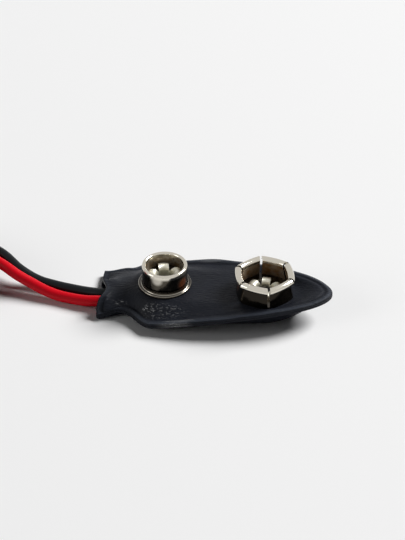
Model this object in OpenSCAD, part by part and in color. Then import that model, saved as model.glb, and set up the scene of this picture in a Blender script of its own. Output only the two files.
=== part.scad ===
/* [Contacts] */
// Distance between the axes of the two contacts
contact_pitch = 12.7; // [11.5:0.1:15]
// Thickness of the nickel-plated sheet of both contacts
metal_t = 0.25; // [0.2:0.01:0.3]
// Outside diameter of the round stud
stud_d = 5.75; // [5.2:0.05:6.2]
// Height of the stud above the top of its flange
stud_h = 2.75; // [2.2:0.05:3.2]
// Diameter of the flange that holds the stud down on the jacket
stud_flange_d = 6.8; // [6.6:0.05:7.6]
// Height of the stud's inner floor above the top of its flange
stud_floor_h = 0.95; // [0.8:0.05:1.3]
// Radius of the hollow corner between the stud's wall and its flange
stud_corner_r = 0.2; // [0.1:0.01:0.25]
// Diameter of the socket's foot across two opposite slits
socket_base_d = 7.7; // [7.2:0.05:8.4]
// Height of the socket from the jacket to the top of its lips
socket_h = 2.95; // [2.6:0.05:3.3]
// Opening across two opposite leaves, at the neck below the lips
socket_neck_w = 5.55; // [5.3:0.05:5.8]
// Number of spring leaves around the socket
leaf_count = 6; // [5:1:8]
// Width of the slits between the leaves
slit_w = 0.3; // [0.2:0.01:0.5]
// Inside radius of the lip that each leaf rolls outwards
lip_roll_r = 0.22; // [0.15:0.01:0.3]
// How far past level the free edge of a lip turns down, in degrees
lip_turn = 25; // [0:1:60]
// How far the centre of a leaf's curve lies behind the socket's axis
leaf_flatness = 5; // [2:0.5:40]
// Turn of the first leaf away from the long axis, in degrees
socket_turn = 15; // [0:1:59]

/* [Rivets] */
// Outside diameter of the hollow rivets
rivet_d = 2.5; // [2.3:0.05:2.8]
// Wall of the hollow rivets
rivet_wall = 0.25; // [0.2:0.01:0.3]
// Diameter of the rivet heads under the board
rivet_head_d = 3.6; // [3.2:0.05:3.65]
// Thickness of the rivet heads
rivet_head_t = 0.3; // [0.2:0.01:0.4]
// Room between the curled petals and the stud's inner wall
petal_room = 0.1; // [0.05:0.01:0.3]
// Height of the straight end that each petal stands on
petal_leg = 0.06; // [0.03:0.01:0.2]
// Gap between two petals where they leave the shank
petal_gap = 0.12; // [0.05:0.01:0.3]
// Number of petals in the stud
stud_petals = 4; // [3:1:4]
// Number of petals in the socket
socket_petals = 5; // [3:1:5]
// Turn of the first petal away from the long axis, in degrees
petal_turn = 15; // [0:1:89]
// Gap between a rivet and each hole that it passes through
rivet_gap = 0.05; // [0.02:0.01:0.1]

/* [Jacket] */
// Thickness of each of the two vinyl sheets
sheet_t = 0.4; // [0.3:0.01:0.5]
// Width of the welded rim
rim_w = 1; // [0.8:0.05:1.3]
// Width of flat seat that is left around the socket's base
seat_margin = 0.1; // [0.05:0.01:0.4]
// Reach of the jacket past the flat seat, at the nose and at the tail
end_reach = 4.65; // [4:0.05:6]
// Width of the slope between the flat seat and the rim, beside the stud
slope_w = 2.05; // [1.7:0.05:2.5]
// Width across the corners of the tail
tail_w = 10; // [9.6:0.1:12]
// How far the middle of the tail lies off the contact line
tail_shift = -0.35; // [-0.5:0.05:0]
// How much shorter the tail is at the corner nearest the mouth
tail_skew = 0.8; // [0:0.1:1.2]
// Depth of the hollow that the cut end of the tail has at the mouth
tail_hollow = 1.2; // [0:0.1:1.5]
// Width of the neck between the tail and the belly
neck_w = 9.6; // [9.2:0.1:10.5]
// Distance of the neck from the tail's cut end
neck_at = 3.4; // [2.5:0.1:4.5]
// Distance of the widest place from the tail's cut end
belly_at = 6.2; // [5.5:0.1:8]
// How much deeper the neck is on the side nearest the mouth
near_neck_in = 0.65; // [0:0.05:0.7]
// How much further from the tail the neck lies on that side
near_neck_lag = 0.35; // [0:0.05:0.5]
// How much less wide the widest place is on that side
near_belly_in = 0.15; // [0:0.05:0.3]
// How much further from the tail the widest place lies on that side
near_belly_lag = 1.75; // [0:0.05:2]
// Gap between the table and the lower sheet at the tail's corners
tail_lift = 0.05; // [0:0.01:0.3]
// Height of the weld above the table at the neck
weld_z_neck = 1.2; // [0.9:0.05:1.4]
// Height of the weld above the table at the widest place
weld_z_belly = 1; // [0.8:0.05:1.4]
// Height of the weld at the nose above the sheet's seat on the board
nose_lift = 0.8; // [0:0.05:1.5]
// Half-width of the flat underside that rests on the table, below the stud
foot_r = 3.2; // [2.8:0.05:3.4]
// Half-width of the flat underside below the socket
foot_nose_r = 2.2; // [2:0.05:2.6]
// Height of the tail's mouth where the leads come out
mouth_z = 2.15; // [2.1:0.05:2.5]
// Width of the mouth at its full height
mouth_w = 3.6; // [3.4:0.1:4]
// Width of the slope on each side of the mouth
mouth_slope_w = 1.8; // [1.5:0.1:1.9]
// Place of the middle of the mouth across the tail
mouth_y = -1.4; // [-1.6:0.1:-1.2]

/* [Board and tags] */
// Thickness of the stiff board under the contacts
board_t = 0.8; // [0.6:0.05:1.2]
// Gap between the edge of the board and the edge of the seat
board_gap = 0.55; // [0.5:0.01:0.9]
// Thickness of the solder tags
tag_t = 0.25; // [0.2:0.01:0.3]
// Diameter of a tag's ring
tag_d = 3.8; // [3.65:0.05:4]
// Length of a tag's tongue from the rivet's axis
tongue_l = 3.4; // [3.2:0.05:3.8]
// Width of a tag's tongue
tongue_w = 1.5; // [1.3:0.05:1.8]
// Turn of the socket's tongue away from the tail, in degrees
socket_tongue_turn = 26; // [20:1:32]
// Radius of the solder drop on each tongue
solder_r = 0.75; // [0.7:0.01:0.8]

/* [Leads] */
// Outside diameter of both insulated leads
lead_d = 1.4; // [1.3:0.01:1.42]
// Diameter of the stranded conductor
conductor_d = 0.6; // [0.5:0.01:0.65]
// Room above a lead between the two layers of the jacket
lead_gap = 0.05; // [0.03:0.01:0.2]
// Length of tinned strands at the free end of each lead
tinned_l = 5; // [3:0.1:7]
// Radius of the coil's inner turns at the middle of the lead
coil_inner_r = 7.15; // [7:0.05:7.4]
// Distance between neighbouring turns in the coil
coil_step = 1.45; // [1.44:0.01:1.5]
// Layers of turns in the coil
coil_layers = 3; // [3:1:4]
// Width of the tie around the coil
tie_w = 2.4; // [1.5:0.1:4]
// Thickness of the tie around the coil
tie_t = 0.3; // [0.2:0.01:0.4]

/* [Hidden] */
$fn = 64;
VINYL = "#26282b";
NICKEL = "#cfc9bd";
FIBRE = "#7a5638";
TINNED = "#c4c4be";
RED = "#b3142c";
TIE = "#3a3c3e";

// Heights, from the table up
board_z = sheet_t + lead_gap + lead_d;
seat_z = board_z + board_t;
top_z = seat_z + sheet_t;
tag_z = board_z - tag_t;

// Places along the part, with the middle between the contacts at zero
stud_x = -contact_pitch / 2;
socket_x = contact_pitch / 2;
seat_r = max(socket_base_d, stud_flange_d) / 2 + seat_margin;
nose_x = socket_x + seat_r + end_reach;
tail_x = stud_x - seat_r - end_reach;
neck_x = tail_x + neck_at;
belly_x = tail_x + belly_at;
belly_r = seat_r + slope_w + rim_w;
hole_r = rivet_d / 2 + rivet_gap;

// Curl of the petals, as wide as the room in the stud allows
petal_roll_r = (stud_d / 2 - 2 * metal_t - petal_room - rivet_d / 2 - rivet_wall) / 2;
petal_h = petal_leg + petal_roll_r + rivet_wall;

// Powers of the curves from the widest place to the nose, in plan and in height
NOSE_TAPER = 2.15;
NOSE_ROUND = 1.8;
NOSE_EASE = 1.1;

// Powers that draw the corners of the tail out
FAR_CORNER_PULL = 1;
NEAR_CORNER_PULL = 2;

// Points along each stretch of the jacket's edge, and rings across its slope
NOSE_STEPS = 16;
SIDE_STEPS = 10;
TAIL_STEPS = 14;
SEAT_STEPS = 3;
SLOPE_STEPS = 5;

// Places of the leads from the tags to the coil
BLACK_ROUTE = [
    [-10.4, 0, 1.1], [-11.4, 0, 1.1], [-14, -0.7, 1.15], [-16, -0.4, 0.9], [-18, 0, 0.8],
    [-20.5, 0.4, 0.9], [-23, 1, 1.1], [-25.5, 1.8, 2], [-28, 3.6, 2.8], [-31, 5, 3.3], [-34.2, 6.4, 3.5]
];
RED_ROUTE = [
    [1.8, -1.5, 1.1], [0.6, -1.5, 1.1], [-2.5, -2.3, 1.1], [-5.5, -2.6, 1.1], [-8.2, -2.55, 1.1],
    [-10.4, -2.2, 1.2], [-12.4, -2.1, 1.2], [-14.4, -2.35, 1.15], [-16.5, -2.2, 0.9], [-19.4, -1.6, 0.8],
    [-21.5, -1.1, 1.1], [-23.5, -0.4, 1.6], [-25.5, 0.2, 2.3], [-27.6, 1.2, 3], [-31, 3, 3.5],
    [-34.9, 5.1, 3.5]
];
LEAD_SIDES = 8;

// Place of the coil on the table, of its tie, and of the ends that leave it
COIL_AT = [-38.5, -1.1];
TIE_ANGLE = 105;
BLACK_END_ANGLE = 155;
RED_END_ANGLE = 10;
END_SPLAY = 35;

coil_outer_r = coil_inner_r + coil_step;
coil_wall_r = coil_outer_r + lead_d / 2;
coil_hole_r = coil_inner_r - coil_step - lead_d / 2;
coil_h = coil_layers * lead_d;

function mix(a, b, t) = a + (b - a) * t;
function smooth(t) = let (c = max(0, min(1, t))) c * c * (3 - 2 * c);
function unit(v) = v / norm(v);

// Corners of the tail, each as its place along the part and its distance from the contact line
far_corner = [tail_x, tail_w / 2 + tail_shift];
near_corner = [tail_x + tail_skew, tail_w / 2 - tail_shift];

// Both sides of the jacket, each as the places and half-widths of its tail corner, its neck and its
// widest place, and the power that draws its corner out
far_side = [far_corner, [neck_x, neck_w / 2], [belly_x, belly_r], FAR_CORNER_PULL];
near_side = [
    near_corner,
    [neck_x + near_neck_lag, neck_w / 2 - near_neck_in],
    [belly_x + near_belly_lag, belly_r - near_belly_in],
    NEAR_CORNER_PULL
];

// Half of the jacket's width at a place between a corner of the tail and the widest place
function side_half(x, side) =
    let (corner = side[0], neck = side[1], belly = side[2])
    x > neck[0]
        ? mix(neck[1], belly[1], smooth((x - neck[0]) / (belly[0] - neck[0])))
        : mix(neck[1], corner[1], pow(smooth((neck[0] - x) / (neck[0] - corner[0])), side[3]));

// One side of the edge, from the nose to a corner of the tail
function side_edge(side) =
    let (corner = side[0], belly = side[2])
    concat(
        [for (k = [0:NOSE_STEPS - 1])
            let (a = 90 * (1 - k / NOSE_STEPS))
            [mix(belly[0], nose_x, pow(sin(a), 2 / NOSE_TAPER)), belly[1] * pow(cos(a), 2 / NOSE_ROUND)]],
        [for (k = [0:SIDE_STEPS])
            let (x = mix(belly[0], corner[0], k / SIDE_STEPS))
            [x, side_half(x, side)]]
    );
function mirrored(p) = [p[0], -p[1]];

// Place on the cut end of the tail, at a share of the way from the far corner to the near one
function cut_at(t) =
    let (p = mix(far_corner, mirrored(near_corner), t))
    p + [tail_hollow * (1 - smooth(abs(p[1] - mouth_y) / mouth_w)), 0];

// The whole edge, counter-clockwise from the nose, with the cut at the tail
far_edge = side_edge(far_side);
near_edge = side_edge(near_side);
edge = concat(
    far_edge,
    [for (k = [1:TAIL_STEPS - 1]) cut_at(k / TAIL_STEPS)],
    [for (k = [len(near_edge) - 1:-1:1]) mirrored(near_edge[k])]
);

// Height of the weld between the two sheets
weld_z_tail = sheet_t + tail_lift;
weld_z_nose = seat_z + nose_lift;
function weld_z(x) =
    x < neck_x ? mix(weld_z_tail, weld_z_neck, smooth((x - tail_x) / (neck_x - tail_x)))
    : x < belly_x ? mix(weld_z_neck, weld_z_belly, smooth((x - neck_x) / (belly_x - neck_x)))
    : mix(weld_z_belly, weld_z_nose, pow(sin(90 * (x - belly_x) / (nose_x - belly_x)), NOSE_EASE));

// Share of the mouth's full height at a place across the tail
function mouth_share(y) = 1 - smooth((abs(y - mouth_y) - mouth_w / 2) / mouth_slope_w);

// Heights of the edge, where the two sheets part only along the cut
function on_cut(i) = i >= len(far_edge) && i < len(far_edge) + TAIL_STEPS - 1;
function edge_heights(mouth) = [for (i = [0:len(edge) - 1]) let (p = edge[i])
    on_cut(i) ? mix(weld_z_tail, mouth, mouth_share(p[1])) : weld_z(p[0])];

// The line between the contacts that the sheets spread out from
function spine(p) = [max(stud_x, min(socket_x, p[0])), 0];
function foot_at(p) = mix(foot_r, foot_nose_r, (spine(p)[0] - stud_x) / contact_pitch);
function weld_r(p) = norm(p - spine(p)) - rim_w;

// Distances from the spine of the rings that both sheets share, from the foot to the weld
function ring_r(p, k) =
    k < SEAT_STEPS
        ? mix(foot_at(p), seat_r, k / SEAT_STEPS)
        : mix(seat_r, weld_r(p), (k - SEAT_STEPS) / SLOPE_STEPS);

// Heights of the faces where the sheets meet, at distance r on the way to an edge point of height h
function upper_z(p, r, h) = mix(seat_z, h, smooth((r - seat_r) / (weld_r(p) - seat_r)));
function lower_z(p, r, h) =
    let (t = max(0, (r - foot_at(p)) / (weld_r(p) - foot_at(p))))
    min(upper_z(p, r, h), mix(sheet_t, h, t * smooth(t)));

// Point of a face on ring k, in the direction of an edge point
function ring_point(p, k, h, is_upper) =
    let (r = ring_r(p, k), at = spine(p) + r * unit(p - spine(p)))
    [at[0], at[1], is_upper ? upper_z(p, r, h) : lower_z(p, r, h)];

// Rings of a face from its flat middle out to the edge, raised by a thickness
function face_rings(heights, is_upper, by) = concat(
    [for (k = [0:SEAT_STEPS + SLOPE_STEPS]) [for (i = [0:len(edge) - 1])
        ring_point(edge[i], k, heights[i], is_upper) + [0, 0, by]]],
    [[for (i = [0:len(edge) - 1]) [edge[i][0], edge[i][1], heights[i] + by]]]
);

function reversed(list) = [for (i = [len(list) - 1:-1:0]) list[i]];

// Facets that close a ring of n points, from one side of it to the other
function across(n) = [for (i = [0:floor(n / 2) - 1]) let (c = n - i - 1, d = (n - i) % n)
    i == d ? [i, i + 1, c] : i + 1 == c ? [i, i + 1, d] : [i, i + 1, c, d]];

// Closed solid through a row of rings with equal numbers of points, where the facets of
// the rings from back on run the other way, so that the two faces of a sheet have the same ones
module loft(rings, back = 0) {
    n = len(rings[0]);
    last = len(rings) - 1;
    polyhedron(
        points = [for (ring = rings) each ring],
        faces = concat(
            [for (facet = across(n)) reversed(facet)],
            [for (k = [0:last - 1], i = [0:n - 1]) let (a = k * n + i, b = k * n + (i + 1) % n)
                each back > 0 && k >= back
                    ? [[a, b, b + n], [a, b + n, a + n]]
                    : [[a, b, a + n], [b, b + n, a + n]]],
            [for (facet = across(n)) [for (i = facet) last * n + i]]
        )
    );
}

// Round cord along a row of places
function heading(route, i) = unit(route[min(i + 1, len(route) - 1)] - route[max(i - 1, 0)]);
function cord_rings(route, d) = [
    for (i = [0:len(route) - 1])
        let (ahead = heading(route, i), right = unit(cross(ahead, [0, 0, 1])), up = cross(right, ahead))
        [for (k = [0:LEAD_SIDES - 1]) let (a = 360 * (k + 0.5) / LEAD_SIDES)
            route[i] + d / 2 * (cos(a) * right + sin(a) * up)]
];

module at_stud() {
    translate([stud_x, 0, 0]) children();
}

module at_socket() {
    translate([socket_x, 0, 0]) children();
}

// Sheet between its face at the weld and the same face raised or lowered by the thickness
module sheet(heights, is_upper) {
    upper = face_rings(heights, is_upper, is_upper ? sheet_t : 0);
    lower = face_rings(heights, is_upper, is_upper ? 0 : -sheet_t);
    loft(concat(upper, reversed(lower)), len(upper));
}

// Upper vinyl sheet, flat over the board, with its welded rim and the raised mouth at the tail
module top_cover() {
    color(VINYL) difference() {
        sheet(edge_heights(mouth_z), true);
        at_stud() cylinder(r = hole_r, h = 2 * top_z);
        at_socket() cylinder(r = hole_r, h = 2 * top_z);
    }
}

// Lower vinyl sheet, flat on the table under the rivets and welded to the upper one along the rim
module bottom_cover() {
    color(VINYL) sheet(edge_heights(sheet_t), false);
}

// Stiff board with round ends that carries both contacts
module carrier_board() {
    board_r = seat_r - board_gap;
    color(FIBRE) translate([0, 0, board_z]) difference() {
        union() {
            translate([stud_x, -board_r, 0]) cube([contact_pitch, 2 * board_r, board_t]);
            at_stud() cylinder(r = board_r, h = board_t);
            at_socket() cylinder(r = board_r, h = board_t);
        }
        at_stud() translate([0, 0, -board_t]) cylinder(r = hole_r, h = 3 * board_t);
        at_socket() translate([0, 0, -board_t]) cylinder(r = hole_r, h = 3 * board_t);
    }
}

// Round stud drawn from sheet, folded over at the rim and down again to an inner floor
module stud_cup() {
    wall_r = stud_d / 2;
    fold_r = wall_r - metal_t;
    fold_z = stud_h;
    floor_z = metal_t + stud_floor_h;
    color(NICKEL) at_stud() translate([0, 0, top_z]) rotate_extrude() {
        translate([fold_r, 0]) square([stud_flange_d / 2 - metal_t / 2 - fold_r, metal_t]);
        translate([stud_flange_d / 2 - metal_t / 2, metal_t / 2]) circle(d = metal_t);
        translate([fold_r, 0]) square([metal_t, fold_z]);
        translate([fold_r - metal_t, floor_z - metal_t]) square([metal_t, fold_z - floor_z + metal_t]);
        translate([hole_r, floor_z - metal_t]) square([fold_r - hole_r, metal_t]);
        difference() {
            translate([fold_r, fold_z]) circle(r = metal_t);
            translate([fold_r - metal_t, fold_z - 2 * metal_t]) square(2 * metal_t);
        }
        difference() {
            translate([wall_r, metal_t]) square(stud_corner_r);
            translate([wall_r + stud_corner_r, metal_t + stud_corner_r]) circle(r = stud_corner_r);
        }
    }
}

// Half section of a rivet: head, shank and the curl that is cut into petals
module rivet_section(floor_z) {
    shank_r = rivet_d / 2;
    bore_r = shank_r - rivet_wall;
    head_z = tag_z - rivet_head_t;
    roll_out = petal_roll_r + rivet_wall;
    roll_at = [shank_r + petal_roll_r, floor_z + petal_h - roll_out];
    translate([bore_r, head_z]) square([rivet_head_d / 2 - bore_r, rivet_head_t]);
    translate([bore_r, head_z]) square([rivet_wall, roll_at[1] - head_z]);
    translate([roll_at[0] + petal_roll_r, floor_z]) square([rivet_wall, roll_at[1] - floor_z]);
    difference() {
        translate(roll_at) circle(r = roll_out);
        translate(roll_at) circle(r = petal_roll_r);
        translate([0, roll_at[1] - 2 * roll_out]) square([roll_at[0] + 2 * roll_out, 2 * roll_out]);
    }
}

// Hollow rivet with its head under the tag and curled petals on the contact's floor
module rivet(floor_z, petals) {
    bore_r = rivet_d / 2 - rivet_wall;
    half = 180 / petals;
    apex = bore_r - petal_gap / 2 / sin(half);
    reach = 2 * rivet_d;
    rotate(petal_turn + half) difference() {
        rotate_extrude() rivet_section(floor_z);
        for (k = [0:petals - 1]) rotate(2 * half * k) translate([apex, 0, floor_z])
            linear_extrude(2 * petal_h) polygon([
                [0, 0], [reach * cos(half), -reach * sin(half)], [2 * reach, 0],
                [reach * cos(half), reach * sin(half)]
            ]);
    }
}

module stud_rivet() {
    color(NICKEL) at_stud() rivet(top_z + metal_t + stud_floor_h, stud_petals);
}

module socket_rivet() {
    color(NICKEL) at_socket() rivet(top_z + metal_t, socket_petals);
}

// Distance of the outside of a leaf's foot from the socket's axis, halfway between two slits
leaf_half = 180 / leaf_count;
leaf_foot_r = norm([leaf_flatness + socket_base_d / 2 * cos(leaf_half), socket_base_d / 2 * sin(leaf_half)])
    - leaf_flatness;

// Half section of one spring leaf: a wall that leans in to the neck, and a lip rolled outwards
module leaf_section() {
    neck_in = socket_neck_w / 2;
    roll_out = lip_roll_r + metal_t;
    roll_at = [neck_in + roll_out, socket_h - roll_out];
    polygon([
        [leaf_foot_r - metal_t, 0], [leaf_foot_r, 0],
        [neck_in + metal_t, roll_at[1]], [neck_in, roll_at[1]]
    ]);
    difference() {
        translate(roll_at) circle(r = roll_out);
        translate(roll_at) circle(r = lip_roll_r);
        translate(roll_at) polygon([
            [-2 * roll_out, 0], [0, 0], 4 * roll_out * [cos(lip_turn), -sin(lip_turn)],
            [0, -8 * roll_out], [-2 * roll_out, -8 * roll_out]
        ]);
    }
}

// One spring leaf, as wide as its share of the ring without the slit
module leaf() {
    reach = socket_base_d;
    apex = slit_w / 2 / sin(leaf_half);
    intersection() {
        translate([-leaf_flatness, 0, 0]) rotate_extrude() translate([leaf_flatness, 0]) leaf_section();
        linear_extrude(2 * socket_h) polygon([
            [apex, 0], [apex + reach * cos(leaf_half), -reach * sin(leaf_half)],
            [apex + 2 * reach, 0], [apex + reach * cos(leaf_half), reach * sin(leaf_half)]
        ]);
    }
}

// Spring socket: a flat floor and a ring of leaves that rise from its edge
module socket_cup() {
    wall_middle_r = leaf_flatness + leaf_foot_r - metal_t / 2;
    color(NICKEL) at_socket() translate([0, 0, top_z]) rotate(socket_turn) {
        difference() {
            intersection_for (k = [0:leaf_count - 1]) rotate(2 * leaf_half * k)
                translate([-leaf_flatness, 0, 0]) cylinder(r = wall_middle_r, h = metal_t);
            translate([0, 0, -metal_t]) cylinder(r = hole_r, h = 3 * metal_t);
        }
        for (k = [0:leaf_count - 1]) rotate(2 * leaf_half * k) leaf();
    }
}

// Ring tag under the board with a tongue for the conductor
module tag(turn) {
    translate([0, 0, tag_z]) linear_extrude(tag_t) difference() {
        union() {
            circle(d = tag_d);
            rotate(180 + turn) translate([0, -tongue_w / 2]) square([tongue_l, tongue_w]);
        }
        circle(r = hole_r);
    }
}

// Middle of the solder on a tongue, from the rivet's axis
function solder_at(turn) = (tongue_l - solder_r) * [cos(180 + turn), sin(180 + turn)];

// Drop of solder below a tongue, around the end of the conductor
module solder(turn) {
    translate(solder_at(turn)) intersection() {
        translate([0, 0, tag_z]) sphere(r = solder_r);
        translate([-solder_r, -solder_r, tag_z - solder_r]) cube([2 * solder_r, 2 * solder_r, solder_r]);
    }
}

module stud_tag() {
    color(TINNED) at_stud() tag(0);
}

module socket_tag() {
    color(TINNED) at_socket() tag(socket_tongue_turn);
}

module stud_solder() {
    color(TINNED) difference() {
        at_stud() solder(0);
        black_core();
    }
}

module socket_solder() {
    color(TINNED) difference() {
        at_socket() solder(socket_tongue_turn);
        red_core();
    }
}

// Bare conductor from the end of a lead into the middle of the solder
module core(from, to_x) {
    translate(from) rotate([0, 90, 0]) cylinder(d = conductor_d, h = to_x - from[0]);
}

module black_core() {
    core(BLACK_ROUTE[0], stud_x + solder_at(0)[0]);
}

module red_core() {
    core(RED_ROUTE[0], socket_x + solder_at(socket_tongue_turn)[0]);
}

module black_conductor() {
    color(TINNED) black_core();
}

module red_conductor() {
    color(TINNED) red_core();
}

module at_coil() {
    translate([COIL_AT[0], COIL_AT[1], 0]) children();
}

// Outer shape of the coiled length of both leads
module coil_shape() {
    at_coil() rotate_extrude()
        translate([coil_hole_r, 0]) square([coil_wall_r - coil_hole_r, coil_h]);
}

module black_lead() {
    color(VINYL) difference() {
        loft(cord_rings(BLACK_ROUTE, lead_d));
        coil_shape();
    }
}

module red_lead() {
    color(RED) difference() {
        loft(cord_rings(RED_ROUTE, lead_d));
        coil_shape();
    }
}

module lead_coil() {
    color(RED) difference() {
        coil_shape();
        tie_band();
    }
}

// Flat band around the coil, which the coil rests on where the band passes under it
module tie_band() {
    wide = coil_wall_r - coil_hole_r;
    at_coil() rotate(TIE_ANGLE) translate([coil_hole_r - tie_t, -tie_w / 2, 0]) difference() {
        cube([wide + 2 * tie_t, tie_w, coil_h + tie_t]);
        translate([tie_t, -tie_w, tie_t]) cube([wide, 3 * tie_w, coil_h - tie_t]);
    }
}

module coil_tie() {
    color(TIE) tie_band();
}

// Tinned strands that leave the wall of the coil
module tinned_end(from_r, angle, turn) {
    at_coil() rotate(angle) translate([from_r, 0, lead_d / 2]) rotate([0, 90, turn])
        translate([0, 0, -tinned_l / 2]) cylinder(d = conductor_d, h = 1.5 * tinned_l);
}

module black_tinned_end() {
    color(TINNED) difference() {
        tinned_end(coil_wall_r, BLACK_END_ANGLE, 90 - END_SPLAY);
        coil_shape();
    }
}

module red_tinned_end() {
    color(TINNED) difference() {
        tinned_end(coil_hole_r, RED_END_ANGLE, 90 + END_SPLAY);
        coil_shape();
    }
}

top_cover();
bottom_cover();
carrier_board();
stud_cup();
stud_rivet();
stud_tag();
stud_solder();
socket_cup();
socket_rivet();
socket_tag();
socket_solder();
black_conductor();
red_conductor();
black_lead();
red_lead();
lead_coil();
coil_tie();
black_tinned_end();
red_tinned_end();
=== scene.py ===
import math

import bmesh
import bpy
import numpy as np
from mathutils import Matrix, Vector, noise


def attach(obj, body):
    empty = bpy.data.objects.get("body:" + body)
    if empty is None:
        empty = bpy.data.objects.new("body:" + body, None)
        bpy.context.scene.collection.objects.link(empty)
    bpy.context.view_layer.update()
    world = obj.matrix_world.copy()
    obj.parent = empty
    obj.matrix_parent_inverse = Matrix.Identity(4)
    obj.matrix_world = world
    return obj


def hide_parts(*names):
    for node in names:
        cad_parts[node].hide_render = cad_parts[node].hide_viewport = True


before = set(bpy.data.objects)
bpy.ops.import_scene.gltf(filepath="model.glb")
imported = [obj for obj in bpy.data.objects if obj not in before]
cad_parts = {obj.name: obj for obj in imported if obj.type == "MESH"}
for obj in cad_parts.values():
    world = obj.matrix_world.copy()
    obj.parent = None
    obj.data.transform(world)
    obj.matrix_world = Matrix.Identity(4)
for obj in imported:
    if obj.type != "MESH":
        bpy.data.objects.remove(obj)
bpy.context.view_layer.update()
scene = bpy.context.scene
scene.view_settings.view_transform = "Standard"
mm = 0.001
contactX = 12.7 / 2  # mm, the contacts stand half an inch apart
print("frame loaded:", len(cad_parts), "nodes")


def hexColor(code):
    parts = [int(code[i:i + 2], 16) / 255 for i in (1, 3, 5)]
    return tuple(c / 12.92 if c <= 0.04045 else ((c + 0.055) / 1.055) ** 2.4 for c in parts) + (1.0,)


def joinSockets(tree, node, links):
    for name, source in links.items():
        tree.links.new(source, node.inputs[name])


def addNode(tree, kind, settings=None, values=None, links=None):
    node = tree.nodes.new(kind)
    for name, value in (settings or {}).items():
        setattr(node, name, value)
    for name, value in (values or {}).items():
        node.inputs[name].default_value = value
    joinSockets(tree, node, links or {})
    return node


def startMaterial(name, values):
    material = bpy.data.materials.new(name)
    material.use_nodes = True
    tree = material.node_tree
    shader = tree.nodes["Principled BSDF"]
    for socket, value in values.items():
        shader.inputs[socket].default_value = value
    return material, tree, shader


def mix(a, b, t):
    return a + (b - a) * t


def clamp(t):
    return max(0.0, min(1.0, t))


def smooth(t):
    c = clamp(t)
    return c * c * (3 - 2 * c)


def smoothArray(t):
    c = np.clip(t, 0, 1)
    return c * c * (3 - 2 * c)


def bell(distance, width):
    return math.exp(-(distance / width) ** 2)


def newMesh(name, points, faces, material, shadeSmooth=True):
    mesh = bpy.data.meshes.new(name)
    mesh.from_pydata([tuple(c * mm for c in p) for p in points], [], faces)
    mesh.materials.append(material)
    mesh.polygons.foreach_set("use_smooth", [shadeSmooth] * len(mesh.polygons))
    mesh.validate()
    piece = bpy.data.objects.new(name, mesh)
    scene.collection.objects.link(piece)
    return piece


def closeMesh(piece, merge=0.002, flat=0.001):  # mm
    work = bmesh.new()
    work.from_mesh(piece.data)
    bmesh.ops.remove_doubles(work, verts=work.verts, dist=merge * mm)
    bmesh.ops.dissolve_degenerate(work, edges=work.edges, dist=flat * mm)
    bmesh.ops.recalc_face_normals(work, faces=work.faces)
    work.to_mesh(piece.data)
    work.free()


# Camera: a long lens low over the near side, framed for 405 by 540 pixels
photoView = {
    "azimuth": 8.0,  # degrees that the nose is turned towards the camera
    "elevation": 36.0,
    "distance": 300.0,  # mm
    "pixelsPerMm": 7.9,
    "anchor": (-contactX, 0.0, 3.3),  # middle of the stud's flange, mm
    "anchorPixel": (164.8, 281.6),
    "frame": (405, 540),
    "sensor": 36.0,
}


def makeCamera(v):
    az, el = math.radians(v["azimuth"]), math.radians(v["elevation"])
    right = Vector((math.cos(az), math.sin(az), 0))
    back = Vector((math.cos(el) * math.sin(az), -math.cos(el) * math.cos(az), math.sin(el)))
    up = back.cross(right)
    across = (v["frame"][0] / 2 - v["anchorPixel"][0]) / v["pixelsPerMm"]
    down = (v["frame"][1] / 2 - v["anchorPixel"][1]) / v["pixelsPerMm"]
    aim = Vector(v["anchor"]) + right * across - up * down
    data = bpy.data.cameras.new("photoCamera")
    data.sensor_fit = "VERTICAL"
    data.sensor_height = v["sensor"]
    data.lens = v["sensor"] * v["distance"] * v["pixelsPerMm"] / v["frame"][1]
    data.clip_start = 0.005
    camera = bpy.data.objects.new("photoCamera", data)
    camera.matrix_world = Matrix((
        (right.x, up.x, back.x, 0),
        (right.y, up.y, back.y, 0),
        (right.z, up.z, back.z, 0),
        (0, 0, 0, 1),
    ))
    camera.location = (aim + back * v["distance"]) * mm
    scene.collection.objects.link(camera)
    scene.camera = camera


makeCamera(photoView)
print("camera placed")


# Soft PVC wire insulation: extruded smooth, so it shows a clean colour, a soft streak of light
# along its length and only faint lines from the die
insulationLook = {
    "dieLines": (22, 90, 1),  # lines around the wire, and breaks in them along a metre
    "lineHigh": 0.02,  # mm
    "cloud": 2.5,
    "dullBy": (-0.06, 0.08),
}


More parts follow.
